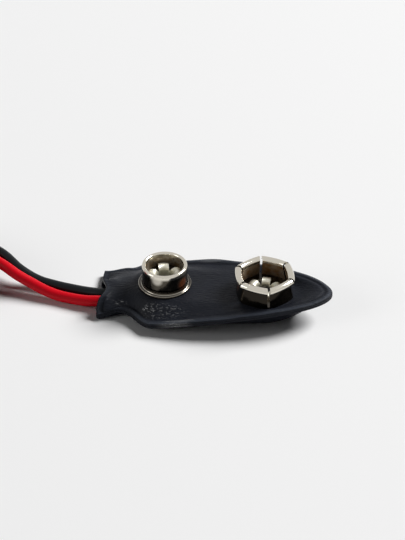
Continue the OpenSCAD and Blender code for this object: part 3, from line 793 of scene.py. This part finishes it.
def makeSheet(name, j, isUpper, wires):
    edge = jacketEdge(j)
    rings, rimSheen, around = [], [], len(edge)
    radii = [ringRadii(j, p) for p in edge]
    count = len(radii[0][0])
    side = 1 if isUpper else -1
    base = []
    for k in range(count):
        base.append([sheetPoint(j, p, rs[k], isUpper) for p, (rs, weld, reach) in zip(edge, radii)])
    draped = drapeTail(j, edge, wires) if isUpper else None
    for k in range(count):  # shown face, from the middle outwards
        ring = []
        for i, (p, (rs, weld, reach)) in enumerate(zip(edge, radii)):
            x, y, z = base[k][i]
            rise = roundOver(j, p, rs[k], weld, j["seatZ"] - edgeHeight(j, p, True)) if isUpper else 0
            share = smooth((j["drapeFrom"][0] - x) / j["drapeFrom"][1]) if isUpper else 0
            if share and rs[k] < weld:
                under, over = draped(x, y)
                z, rise = mix(z, under, share), mix(rise, over - under, share)
                base[k][i] = (x, y, z)
            rise += relief(j, x, y, rs[k], weld, p[2]) if isUpper else 0
            ring.append((x, y, z + side * j["sheet"] + rise))
            # painted sheen: the rim is marked paler outside the weld, and less along the cut
            pale = smooth((rs[k] - weld - j["sheenFrom"][0]) / j["sheenFrom"][1])
            rimSheen.append(pale * (j["cutSheen"] if p[2] else 1))
        rings.append(ring)
    last = rings[-1]
    for turn in (30, 60, 90):  # rounded edge
        a, ring = math.radians(turn), []
        for i, (p, (rs, weld, reach)) in enumerate(zip(edge, radii)):
            x, y, z = sheetPoint(j, p, reach - j["edgeRound"] * (1 - math.sin(a)), isUpper)
            ring.append((x, y, last[i][2] - side * j["edgeRound"] * (1 - math.cos(a))))
        rings.append(ring)
    for k in range(count, -1, -1):  # hidden face, back to the middle
        ring = []
        for i, (p, (rs, weld, reach)) in enumerate(zip(edge, radii)):
            ring.append(sheetPoint(j, p, reach, isUpper) if k == count else base[k][i])
        rings.append(ring)
    points = [q for ring in rings for q in ring]
    faces = []
    for k in range(len(rings) - 1):
        for i in range(around):
            a, b = k * around + i, k * around + (i + 1) % around
            face = (a, b, b + around, a + around)
            faces.append(face[::-1] if isUpper else face)
    piece = newMesh(name, points, faces, softVinyl)
    rimSheen += [0.0] * (len(points) - len(rimSheen))
    piece.data.attributes.new("rim", "FLOAT", "POINT").data.foreach_set("value", rimSheen)
    closeMesh(piece)
    return piece


for sheetName, nodeName, isUpper in (("upperSheet", "top_cover", True),
                                     ("lowerSheet", "bottom_cover", False)):
    sheetPiece = makeSheet(sheetName, jacketSizes, isUpper,
                           [leadPath(leadSizes, lead) for lead in (blackSizes, redSizes)])
    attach(sheetPiece, "root")
    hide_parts(nodeName)
    print(sheetName, "faces:", len(sheetPiece.data.polygons))


# Nickel plate on drawn brass: bright, warm and slightly wavy where it was polished, with a brown tarnish
# inside.
# Its outside wall has a painted dark reflection with a painted pale reflection left at one patch, the slit
# edges have painted shade, and one spot on the wall has a painted warm reflection
plateSizes = {
    "bright": "#d9d3c6",
    # painted shade in the slits
    "slitShade": "#2b2620",
    # painted warm reflection: an orange-brown spot on the outer wall
    "warmReflectionColor": "#6e3714",
    "blot": 0.9,  # mm, as the lengths below
    "wave": 0.7,
    "waveHigh": 0.05,
    "paleReflectionFade": (0.45, 0.85),
    "warmReflectionFade": (1.15, 0.45),
    "warmReflectionWander": 0.5,
    "heightFade": 0.15,
}
studPlate = {
    "axisX": -contactX,
    "tarnish": "#6b5639",
    # painted dark reflection on the outer wall, with a painted pale reflection left around one patch
    "wall": "#4f4a42",
    "wallTop": 5.5,
    "paleReflection": (-6.9, -2.7, 5.35),
    "innerTop": 5.75,
    "flangeTop": 3.7,
    "flangeFall": 0.45,  # the rolled flange falls away a little
    "warmReflection": (-3.95, -1.35, 4.3),
}
socketPlate = {
    "axisX": contactX,
    "tarnish": "#8a6337",
    "wall": "#2a2621",
    # painted dark reflection on the outer wall, with a painted pale reflection left around one patch
    "wallTop": 5.2,
    "paleReflection": (4.6, -3.2, 5.9),
    "innerTop": 5.45,
    "flangeTop": 3.3,
    "flangeFall": 0.0,
    "warmReflection": (2.9, -0.6, 4.3),
}


def makeNickel(name, s, n):
    material, tree, shader = startMaterial(name, {"Metallic": 1.0, "Roughness": 0.14})
    coords = addNode(tree, "ShaderNodeTexCoord").outputs["Object"]
    normal = addNode(tree, "ShaderNodeNewGeometry").outputs["Normal"]
    flat = addNode(tree, "ShaderNodeMapping",
                   values={"Location": (-n["axisX"] * mm, 0, 0), "Scale": (1, 1, 0)},
                   links={"Vector": coords})
    out = addNode(tree, "ShaderNodeVectorMath", {"operation": "NORMALIZE"}, links={0: flat.outputs["Vector"]})
    facing = addNode(tree, "ShaderNodeVectorMath", {"operation": "DOT_PRODUCT"},
                     links={0: out.outputs["Vector"], 1: normal}).outputs["Value"]
    place = addNode(tree, "ShaderNodeSeparateXYZ", links={"Vector": coords}).outputs
    height = place["Z"]
    blot = addNode(tree, "ShaderNodeTexNoise", values={"Scale": 1 / (s["blot"] * mm), "Detail": 4},
                   links={"Vector": coords})
    inside = addNode(tree, "ShaderNodeMapRange", values={"From Min": 0.2, "From Max": -0.4},
                     links={"Value": facing})
    under = addNode(tree, "ShaderNodeMapRange",
                    values={"From Min": (n["innerTop"] + 0.1) * mm, "From Max": (n["innerTop"] - 0.2) * mm},
                    links={"Value": height})
    inside = addNode(tree, "ShaderNodeMath", {"operation": "MULTIPLY"},
                     links={0: inside.outputs["Result"], 1: under.outputs["Result"]})
    spread = addNode(tree, "ShaderNodeMapRange", values={"From Min": 0.3, "From Max": 0.65, "To Min": 0.45},
                     links={"Value": blot.outputs["Fac"]})
    brown = addNode(tree, "ShaderNodeMath", {"operation": "MULTIPLY"},
                    links={0: inside.outputs["Value"], 1: spread.outputs["Result"]})
    outside = addNode(tree, "ShaderNodeMapRange", values={"From Min": 0.3, "From Max": 0.6},
                      links={"Value": facing})
    # painted dark reflection: the outside wall is darkened below its top, except near the painted pale
    # reflection
    top, fade = n["wallTop"] * mm, s["heightFade"] * mm
    below = addNode(tree, "ShaderNodeMapRange", values={"From Min": top + fade, "From Max": top - fade},
                    links={"Value": height})
    patch = addNode(tree, "ShaderNodeVectorMath", {"operation": "DISTANCE"},
                    {1: tuple(c * mm for c in n["paleReflection"])}, {0: coords})
    near, far = (c * mm for c in s["paleReflectionFade"])
    beyond = addNode(tree, "ShaderNodeMapRange", values={"From Min": near, "From Max": far, "To Min": 0.35},
                     links={"Value": patch.outputs["Value"]})
    paintedDark = addNode(tree, "ShaderNodeMath", {"operation": "MULTIPLY"},
                   links={0: outside.outputs["Result"], 1: below.outputs["Result"]})
    paintedDark = addNode(tree, "ShaderNodeMath", {"operation": "MULTIPLY"},
                   links={0: paintedDark.outputs["Value"], 1: beyond.outputs["Result"]})
    # painted warm reflection: an orange-brown spot on the outer wall with a wandering edge, which also dulls
    # the metal there
    spot = addNode(tree, "ShaderNodeVectorMath", {"operation": "DISTANCE"},
                   {1: tuple(c * mm for c in n["warmReflection"])}, {0: coords})
    rough = addNode(tree, "ShaderNodeMath", {"operation": "MULTIPLY_ADD"},
                    {1: s["warmReflectionWander"] * mm, 2: -s["warmReflectionWander"] / 2 * mm}, {0: blot.outputs["Fac"]})
    spot = addNode(tree, "ShaderNodeMath", {"operation": "ADD"},
                   links={0: spot.outputs["Value"], 1: rough.outputs["Value"]})
    warmReflection = addNode(tree, "ShaderNodeMapRange", {"interpolation_type": "SMOOTHSTEP"},
                    {"From Min": s["warmReflectionFade"][0] * mm, "From Max": s["warmReflectionFade"][1] * mm, "To Max": 0.9},
                    {"Value": spot.outputs["Value"]})
    tone = addNode(tree, "ShaderNodeMix", {"data_type": "RGBA"},
                   {6: hexColor(s["bright"]), 7: hexColor(n["tarnish"])}, {0: brown.outputs["Value"]})
    tone = addNode(tree, "ShaderNodeMix", {"data_type": "RGBA"}, {7: hexColor(n["wall"])},
                   {0: paintedDark.outputs["Value"], 6: tone.outputs[2]})
    # painted shade in the slits: edges that face sideways are darkened below the top, a little less on the
    # far side
    slitShadeMask = addNode(tree, "ShaderNodeMath", {"operation": "ABSOLUTE"}, links={0: facing})
    slitShadeMask = addNode(tree, "ShaderNodeMapRange", values={"From Min": 0.4, "From Max": 0.2},
                  links={"Value": slitShadeMask.outputs["Value"]})
    back = addNode(tree, "ShaderNodeMapRange",
                   values={"From Min": -1 * mm, "From Max": 1 * mm, "To Min": 0.92},
                   links={"Value": place["Y"]})
    slitShadeMask = addNode(tree, "ShaderNodeMath", {"operation": "MULTIPLY"},
                  links={0: slitShadeMask.outputs["Result"], 1: back.outputs["Result"]})
    slitShadeMask = addNode(tree, "ShaderNodeMath", {"operation": "MULTIPLY"},
                  links={0: slitShadeMask.outputs["Value"], 1: under.outputs["Result"]})
    tone = addNode(tree, "ShaderNodeMix", {"data_type": "RGBA"}, {7: hexColor(s["slitShade"])},
                   {0: slitShadeMask.outputs["Value"], 6: tone.outputs[2]})
    tone = addNode(tree, "ShaderNodeMix", {"data_type": "RGBA"}, {7: hexColor(s["warmReflectionColor"])},
                   {0: warmReflection.outputs["Result"], 6: tone.outputs[2]})
    flange = addNode(tree, "ShaderNodeMapRange",
                     values={"From Min": (n["flangeTop"] + 0.2) * mm, "From Max": n["flangeTop"] * mm},
                     links={"Value": height})
    tarnishAndWarmReflection = addNode(tree, "ShaderNodeMath", {"operation": "MAXIMUM"},
                    links={0: warmReflection.outputs["Result"], 1: brown.outputs["Value"]})
    bare = addNode(tree, "ShaderNodeMapRange", values={"To Min": 1.0, "To Max": 0.35},
                   links={"Value": tarnishAndWarmReflection.outputs["Value"]})
    dull = addNode(tree, "ShaderNodeMapRange", values={"To Min": 0.12, "To Max": 0.42},
                   links={"Value": brown.outputs["Value"]})
    wavy = addNode(tree, "ShaderNodeTexNoise", values={"Scale": 1 / (s["wave"] * mm), "Detail": 2},
                   links={"Vector": coords})
    reach = addNode(tree, "ShaderNodeVectorMath", {"operation": "LENGTH"}, links={0: flat.outputs["Vector"]})
    fall = addNode(tree, "ShaderNodeMath", {"operation": "MULTIPLY"}, {1: -n["flangeFall"]},
                   {0: reach.outputs["Value"]})
    fall = addNode(tree, "ShaderNodeMath", {"operation": "MULTIPLY"},
                   links={0: fall.outputs["Value"], 1: flange.outputs["Result"]})
    dished = addNode(tree, "ShaderNodeBump", values={"Distance": 1.0},
                     links={"Height": fall.outputs["Value"]})
    bump = addNode(tree, "ShaderNodeBump", values={"Strength": 0.25, "Distance": s["waveHigh"] * mm},
                   links={"Height": wavy.outputs["Fac"], "Normal": dished.outputs["Normal"]})
    joinSockets(tree, shader, {
        "Base Color": tone.outputs[2], "Metallic": bare.outputs["Result"],
        "Roughness": dull.outputs["Result"], "Normal": bump.outputs["Normal"],
    })
    return material


# Tinned brass rivet: its tube was split and rolled outwards, which left ribs along each petal
rivetSizes = {
    "ribs": 44.0,  # around the rivet, 0.2 mm apart on a petal
    "ribHigh": 0.03,
    "blot": 0.5,
    "tones": ("#eceadd", "#c6c2ae"),
}


def makeRivetTin(name, r, axisX):
    material, tree, shader = startMaterial(name, {"Metallic": 0.7, "Roughness": 0.35})
    coords = addNode(tree, "ShaderNodeTexCoord").outputs["Object"]
    centred = addNode(tree, "ShaderNodeMapping", values={"Location": (-axisX * mm, 0, 0)},
                      links={"Vector": coords})
    part = addNode(tree, "ShaderNodeSeparateXYZ", links={"Vector": centred.outputs["Vector"]}).outputs
    angle = addNode(tree, "ShaderNodeMath", {"operation": "ARCTAN2"}, links={0: part["Y"], 1: part["X"]})
    ribs = addNode(tree, "ShaderNodeMath", {"operation": "MULTIPLY"}, {1: r["ribs"]},
                   {0: angle.outputs["Value"]})
    wave = addNode(tree, "ShaderNodeMath", {"operation": "SINE"}, links={0: ribs.outputs["Value"]})
    blot = addNode(tree, "ShaderNodeTexNoise", values={"Scale": 1 / (r["blot"] * mm), "Detail": 4},
                   links={"Vector": coords})
    tone = addNode(tree, "ShaderNodeMix", {"data_type": "RGBA"},
                   {6: hexColor(r["tones"][0]), 7: hexColor(r["tones"][1])}, {0: blot.outputs["Fac"]})
    dull = addNode(tree, "ShaderNodeMapRange", values={"To Min": 0.28, "To Max": 0.48},
                   links={"Value": blot.outputs["Fac"]})
    bump = addNode(tree, "ShaderNodeBump", values={"Strength": 0.4, "Distance": r["ribHigh"] * mm},
                   links={"Height": wave.outputs["Value"]})
    joinSockets(tree, shader, {
        "Base Color": tone.outputs[2], "Roughness": dull.outputs["Result"], "Normal": bump.outputs["Normal"],
    })
    return material


# Vulcanised fibre board: pressed paper, so it is brown, dull and slightly mottled
fibreLook = {
    "blot": 0.5,
    "detail": 5,
    "tones": ("#7f5a3b", "#684629"),
    "bump": (0.3, 0.03),
}

studNickel = makeNickel("studNickelPlate", plateSizes, studPlate)
socketNickel = makeNickel("socketNickelPlate", plateSizes, socketPlate)
studTin = makeRivetTin("studRivetTin", rivetSizes, studPlate["axisX"])
socketTin = makeRivetTin("socketRivetTin", rivetSizes, socketPlate["axisX"])
fibreBoard = makeMottled("vulcanisedFibre", {"Roughness": 0.7}, fibreLook)
cadFinishes = {
    "carrier_board": fibreBoard,
    "stud_cup": studNickel,
    "socket_cup": socketNickel,
    "stud_rivet": studTin,
    "socket_rivet": socketTin,
    "stud_tag": tinnedCopper,
    "socket_tag": tinnedCopper,
    "stud_solder": tinnedCopper,
    "socket_solder": tinnedCopper,
    "black_conductor": tinnedCopper,
    "red_conductor": tinnedCopper,
}
for nodeName, finish in cadFinishes.items():
    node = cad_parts[nodeName]
    node.data.materials.clear()
    node.data.materials.append(finish)
print("contacts finished")

# Flat band around the coil, in mm
tieSizes = {
    "thick": 0.3,
    "wide": 2.4,
    "corner": 0.45,
    "innerCorner": 0.17,
    "edge": 0.07,
}


def roundedLoop(low, high, bottom, top, radius, perCorner=6):
    loop = []
    for cx, cz, start in ((high - radius, top - radius, 0), (low + radius, top - radius, 90),
                          (low + radius, bottom + radius, 180), (high - radius, bottom + radius, 270)):
        for k in range(perCorner + 1):
            a = math.radians(start + 90 * k / perCorner)
            loop.append((cx + radius * math.cos(a), cz + radius * math.sin(a)))
    return loop


def makeTie(t, common):
    r = common["diameter"] / 2
    low, high = redSizes["inset"][2] - r, blackSizes["turnR"] + r  # radial reach of what it holds
    bottom, top = common["layerZ"][-1] + common["tieLift"][-1] - r, common["layerZ"][0] + r
    thick, half, edge = t["thick"], t["wide"] / 2, t["edge"]
    inner = roundedLoop(low, high, bottom, top, t["innerCorner"])
    outer = roundedLoop(low - thick, high + thick, bottom - thick, top + thick, t["corner"])
    count, points, faces = len(inner), [], []
    section = ((0, half - edge), (0, edge - half), (edge / thick, -half), (1 - edge / thick, -half),
               (1, edge - half), (1, half - edge), (1 - edge / thick, half), (edge / thick, half))
    turn = math.radians(common["tieAngle"])
    atX, atY = common["coilAt"]
    for i in range(count):
        for share, across in section:
            r, z = mix(inner[i][0], outer[i][0], share), mix(inner[i][1], outer[i][1], share)
            points.append((atX + r * math.cos(turn) - across * math.sin(turn),
                           atY + r * math.sin(turn) + across * math.cos(turn), z))
    n = len(section)
    for i in range(count):
        for k in range(n):
            a, b = i * n + k, i * n + (k + 1) % n
            c, d = ((i + 1) % count) * n + (k + 1) % n, ((i + 1) % count) * n + k
            faces.append((a, b, c, d))
    piece = newMesh("coilTie", points, faces, tiePlastic)
    closeMesh(piece)
    return piece


# Soft plastic tie: moulded flat, with a dull even skin
tieLook = {
    "blot": 0.25,
    "detail": 3,
    "tones": ("#3a3c3e", "#2f3133"),
    "bump": (0.25, 0.02),
}
tiePlastic = makeMottled("softTiePlastic", {"Roughness": 0.55, "IOR": 1.49}, tieLook)
tiePiece = makeTie(tieSizes, leadSizes)
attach(tiePiece, "root")
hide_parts("coil_tie")
print("tie made")

# Pale floor, one large soft lamp behind and right, a dim panel at the tail and a dim room around
studio = {
    "floorColor": "#f2f2f2",
    "floorSize": 8.0,
    "roomColor": "#ffffff",
    "roomLight": 0.035,
    "roomSeen": 0.74,  # what the metal mirrors
}
lamps = {
    "softKey": {"at": (1.1, 0.75, 1.15), "size": 0.9, "power": 44.6},
    "tailPanel": {"at": (-0.9, -0.45, 0.45), "size": 0.6, "power": 1.9},
}


def makeStudio(s, lamps):
    half = s["floorSize"] / 2
    material = startMaterial("paleFloor", {
        "Base Color": hexColor(s["floorColor"]), "Roughness": 0.9, "Specular IOR Level": 0.0,
    })[0]
    mesh = bpy.data.meshes.new("floor")
    mesh.from_pydata([(-half, -half, 0), (half, -half, 0), (half, half, 0), (-half, half, 0)], [],
                     [(0, 1, 2, 3)])
    mesh.materials.append(material)
    floor = bpy.data.objects.new("floor", mesh)
    scene.collection.objects.link(floor)
    for name, kind in lamps.items():
        light = bpy.data.lights.new(name, "AREA")
        light.shape = "DISK"
        light.size = kind["size"]
        light.energy = kind["power"]
        lamp = bpy.data.objects.new(name, light)
        lamp.location = kind["at"]
        lamp.rotation_euler = (-Vector(kind["at"])).to_track_quat("-Z", "Y").to_euler()
        scene.collection.objects.link(lamp)
    world = bpy.data.worlds.new("dimRoom")
    scene.world = world
    world.use_nodes = True
    tree = world.node_tree
    sky = tree.nodes["Background"]
    sky.inputs["Color"].default_value = hexColor(s["roomColor"])
    path = addNode(tree, "ShaderNodeLightPath").outputs
    seen = addNode(tree, "ShaderNodeMath", {"operation": "MAXIMUM"},
                   links={0: path["Is Camera Ray"], 1: path["Is Glossy Ray"]})
    seen = addNode(tree, "ShaderNodeMath", {"operation": "MAXIMUM"},
                   links={0: seen.outputs["Value"], 1: path["Is Transmission Ray"]})
    strength = addNode(tree, "ShaderNodeMapRange", values={"To Min": s["roomLight"], "To Max": s["roomSeen"]},
                       links={"Value": seen.outputs["Value"]})
    tree.links.new(strength.outputs["Result"], sky.inputs["Strength"])


makeStudio(studio, lamps)
print("studio lit")
